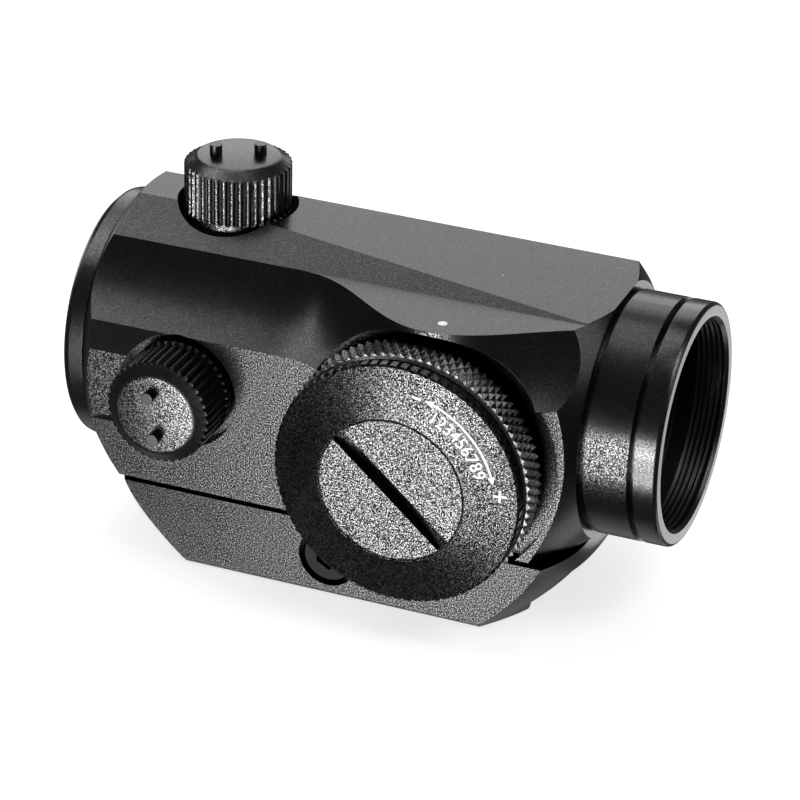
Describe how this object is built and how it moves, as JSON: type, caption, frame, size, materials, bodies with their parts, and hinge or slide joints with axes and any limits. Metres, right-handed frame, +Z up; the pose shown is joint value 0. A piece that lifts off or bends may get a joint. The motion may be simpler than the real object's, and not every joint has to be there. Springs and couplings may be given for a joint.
{
  "type": "micro red dot sight",
  "caption": "Closed-tube micro red dot sight with fluted turret caps, a knurled brightness dial around the battery cap and a low rail clamp.",
  "frame": {"origin": "point where the optical axis meets the plane of the front rim", "axes": "+X forward along the optical axis (towards the target), +Z up, -Y the side with the battery cap (shooter's right)"},
  "size_m": [0.062, 0.0348, 0.0401],
  "materials": {
    "anodised_body": "hard anodised black, fine bead-blasted grain",
    "anodised_ring": "turned, hard anodised black, satin",
    "anodised_cap": "fluted, hard anodised black",
    "anodised_dial": "diamond knurled, hard anodised black",
    "anodised_lid": "blasted, hard anodised black, white marks",
    "anodised_clamp": "blasted, hard anodised black",
    "black_steel": "blackened steel",
    "spring_steel": "bright spring steel",
    "steel": "bright steel",
    "brass": "machined brass",
    "cell_steel": "nickel-plated steel",
    "lens_glass": "coated glass with a red cast",
    "window_glass": "clear coated glass",
    "seal_rubber": "nitrile rubber, matt",
    "board": "glass-epoxy circuit board",
    "holder_black": "moulded black",
    "diode": "clear red resin",
    "inner_black": "matt black anodised"
  },
  "bodies": {
    "housing": {"main_housing": "anodised_body", "front_ring": "anodised_ring", "rear_ring": "anodised_ring", "rear_window": "window_glass", "window_ring": "inner_black", "mount_base": "anodised_clamp", "base_screws": "black_steel", "elevation_retainer": "spring_steel", "windage_retainer": "spring_steel", "battery_sleeve": "inner_black", "dial_retainer": "spring_steel", "switch_board": "board", "contact_spring": "spring_steel", "coin_cell": "cell_steel", "detent_ball": "steel", "detent_spring": "spring_steel", "bias_spring": "spring_steel", "spring_screw": "steel"},
    "pivot": {"pivot_ring": "inner_black"},
    "sight_tube": {"inner_tube": "inner_black", "objective_lens": "lens_glass", "lens_ring": "inner_black", "led_holder": "holder_black", "led_emitter": "diode"},
    "elevation_screw": {"elevation_adjuster": "brass"},
    "elevation_foot": {"elevation_plunger": "brass"},
    "elevation_cap_lift": {"elevation_cap_seal": "seal_rubber"},
    "elevation_cap": {"elevation_cap": "anodised_cap", "elevation_cap_pins": "black_steel"},
    "windage_screw": {"windage_adjuster": "brass"},
    "windage_foot": {"windage_plunger": "brass"},
    "windage_cap_lift": {"windage_cap_seal": "seal_rubber"},
    "windage_cap": {"windage_cap": "anodised_cap", "windage_cap_pins": "black_steel"},
    "dial": {"dial_ring": "anodised_dial"},
    "battery_cap_lift": {"battery_cap_seal": "seal_rubber"},
    "battery_cap": {"battery_cap": "anodised_lid"},
    "clamp_screw": {"clamp_screw": "black_steel"},
    "clamp_jaw": {"clamp_jaw": "anodised_clamp"}
  },
  "joints": [
    {"name": "tube_yaw", "type": "hinge", "parent": "housing", "child": "pivot", "pos_m": [-0.0111, 0, 0], "axis": [0, 0, 1], "range_deg": [-0.77, 0.77]},
    {"name": "tube_pitch", "type": "hinge", "parent": "pivot", "child": "sight_tube", "pos_m": [-0.0111, 0, 0], "axis": [0, 1, 0], "range_deg": [-0.77, 0.77]},
    {"name": "elevation_push", "type": "slide", "parent": "housing", "child": "elevation_foot", "axis": [0, 0, 1], "range_m": [-0.0005, 0.0005]},
    {"name": "elevation_adjust", "type": "hinge", "parent": "housing", "child": "elevation_screw", "pos_m": [-0.0485, 0, 0], "axis": [0, 0, 1], "range_deg": [-360, 360]},
    {"name": "elevation_cap_rise", "type": "slide", "parent": "housing", "child": "elevation_cap_lift", "axis": [0, 0, 1], "range_m": [0, 0.004]},
    {"name": "elevation_cap_turn", "type": "hinge", "parent": "elevation_cap_lift", "child": "elevation_cap", "pos_m": [-0.0485, 0, 0], "axis": [0, 0, 1], "range_deg": [0, 1800]},
    {"name": "windage_push", "type": "slide", "parent": "housing", "child": "windage_foot", "axis": [0, -1, 0], "range_m": [-0.0005, 0.0005]},
    {"name": "windage_adjust", "type": "hinge", "parent": "housing", "child": "windage_screw", "pos_m": [-0.0485, 0, 0], "axis": [0, -1, 0], "range_deg": [-360, 360]},
    {"name": "windage_cap_rise", "type": "slide", "parent": "housing", "child": "windage_cap_lift", "axis": [0, -1, 0], "range_m": [0, 0.004]},
    {"name": "windage_cap_turn", "type": "hinge", "parent": "windage_cap_lift", "child": "windage_cap", "pos_m": [-0.0485, 0, 0], "axis": [0, -1, 0], "range_deg": [0, 1800]},
    {"name": "dial_turn", "type": "hinge", "parent": "housing", "child": "dial", "pos_m": [-0.0234, 0, -0.0021], "axis": [0, -1, 0], "range_deg": [0, 330]},
    {"name": "battery_cap_rise", "type": "slide", "parent": "housing", "child": "battery_cap_lift", "axis": [0, -1, 0], "range_m": [0, 0.0015]},
    {"name": "battery_cap_turn", "type": "hinge", "parent": "battery_cap_lift", "child": "battery_cap", "pos_m": [-0.0234, 0, -0.0021], "axis": [0, -1, 0], "range_deg": [0, 720]},
    {"name": "clamp_open", "type": "slide", "parent": "housing", "child": "clamp_jaw", "axis": [0, 1, 0], "range_m": [0, 0.0014]},
    {"name": "clamp_turn", "type": "hinge", "parent": "housing", "child": "clamp_screw", "pos_m": [-0.0325, 0, -0.0151], "axis": [0, -1, 0], "range_deg": [0, 720]}
  ],
  "couplings": [
    {"joint": "elevation_adjust", "follows": "elevation_push", "rad_per_m": 12566},
    {"joint": "tube_pitch", "follows": "elevation_push", "rad_per_m": 26.738},
    {"joint": "elevation_cap_turn", "follows": "elevation_cap_rise", "rad_per_m": 7854},
    {"joint": "windage_adjust", "follows": "windage_push", "rad_per_m": 12566},
    {"joint": "tube_yaw", "follows": "windage_push", "rad_per_m": 26.738},
    {"joint": "windage_cap_turn", "follows": "windage_cap_rise", "rad_per_m": 7854},
    {"joint": "battery_cap_turn", "follows": "battery_cap_rise", "rad_per_m": 8377.6},
    {"joint": "clamp_turn", "follows": "clamp_open", "rad_per_m": 8976}
  ]
}
